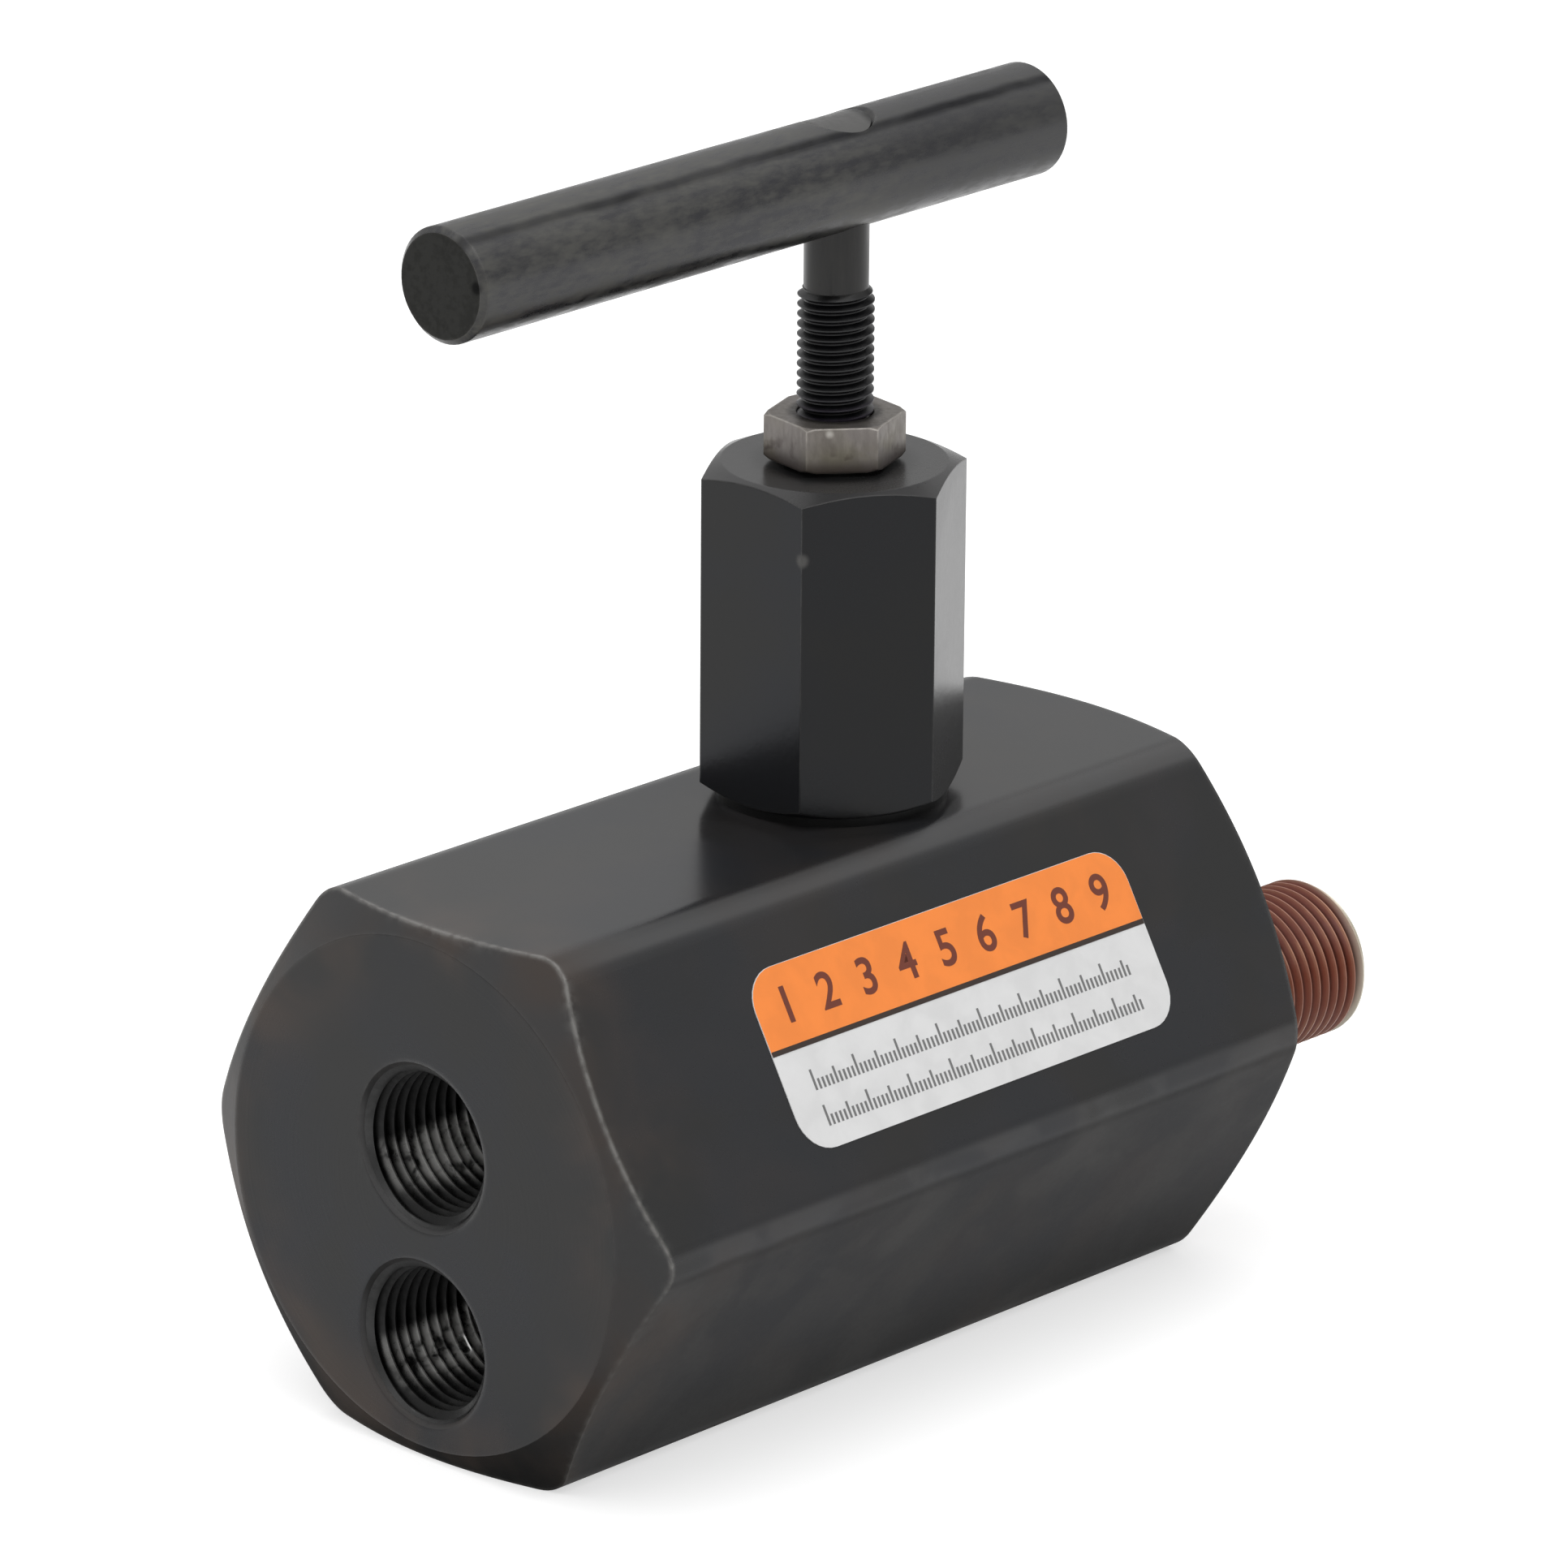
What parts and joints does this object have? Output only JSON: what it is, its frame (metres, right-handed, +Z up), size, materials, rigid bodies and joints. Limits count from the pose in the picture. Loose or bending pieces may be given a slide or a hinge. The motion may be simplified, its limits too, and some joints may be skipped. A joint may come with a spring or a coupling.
{
  "type": "sequence valve",
  "caption": "Hydraulic pressure sequence valve: hexagonal bar body with tapped ports, a pipe nipple and a hexagonal spring bonnet set by a T-handle screw.",
  "frame": {"origin": "centre of the hexagonal body's bottom flat", "axes": "+X along the bar towards the nipple, +Z up along the bonnet and adjusting screw; the tapped ports open on the -X end face"},
  "size_m": [0.117, 0.0646, 0.1293],
  "materials": {
    "black_oxide_steel": "machined steel, black oxide with oil",
    "handle_steel": "cold-drawn bar, black oxide",
    "screw_steel": "threaded, black oxide, oily",
    "nut_steel": "dull zinc plate, slightly yellowed",
    "coated_nipple": "steel with reddish-brown thread coating",
    "bright_steel": "hardened and ground",
    "spring_steel": "oil-tempered wire",
    "ball_steel": "polished bearing ball",
    "bush_brass": "turned bronze",
    "seal_rubber": "nitrile, matte black",
    "seal_plastic": "white fluoropolymer"
  },
  "bodies": {
    "housing": {"valve_body": "black_oxide_steel", "port_nipple": "coated_nipple", "bonnet": "black_oxide_steel", "bonnet_gasket": "seal_rubber", "seat_carrier": "bright_steel", "carrier_o_ring": "seal_rubber", "carrier_backup_ring": "seal_plastic", "seat_insert": "bright_steel", "check_retainer": "bush_brass", "check_spring": "spring_steel", "guide_bush": "bush_brass", "guide_o_ring": "seal_rubber", "guide_backup_ring": "seal_plastic", "stem_o_ring": "seal_rubber", "stem_backup_ring": "seal_plastic", "main_spring": "spring_steel"},
    "poppet_assembly": {"poppet": "bright_steel", "lower_spring_seat": "bright_steel"},
    "spring_button": {"thrust_ball": "ball_steel", "upper_spring_seat": "bright_steel"},
    "screw_assembly": {"adjusting_screw": "screw_steel", "t_handle": "handle_steel"},
    "nut_seal": {"nut_seal_ring": "seal_plastic"},
    "jam_nut": {"jam_nut": "nut_steel"},
    "check_ball": {"check_ball": "ball_steel"}
  },
  "joints": [
    {"name": "preload_slide", "type": "slide", "parent": "housing", "child": "spring_button", "axis": [0, 0, 1], "range_m": [-0.0085, 0.00425], "deforming": ["main_spring"]},
    {"name": "handle_turn", "type": "hinge", "parent": "spring_button", "child": "screw_assembly", "pos_m": [0.0096, 0, 0.12335], "axis": [0, 0, 1], "range_deg": [-2880, 1440]},
    {"name": "nut_lift", "type": "slide", "parent": "housing", "child": "nut_seal", "axis": [0, 0, 1], "range_m": [0, 0.00425]},
    {"name": "jam_nut_turn", "type": "hinge", "parent": "nut_seal", "child": "jam_nut", "pos_m": [0.0096, 0, 0.0957], "axis": [0, 0, 1], "range_deg": [0, 1440]},
    {"name": "poppet_lift", "type": "slide", "parent": "housing", "child": "poppet_assembly", "axis": [0, 0, 1], "range_m": [0, 0.0012], "stiffness_N_per_m": 2000, "springref_m": -0.005, "deforming": ["main_spring"]},
    {"name": "check_ball_drop", "type": "slide", "parent": "housing", "child": "check_ball", "axis": [0, 0, -1], "range_m": [0, 0.001], "stiffness_N_per_m": 20, "springref_m": -0.002, "deforming": ["check_spring"]}
  ],
  "couplings": [
    {"joint": "preload_slide", "follows": "handle_turn", "m_per_rad": 0.00016844},
    {"joint": "nut_lift", "follows": "jam_nut_turn", "m_per_rad": 0.00016844}
  ]
}
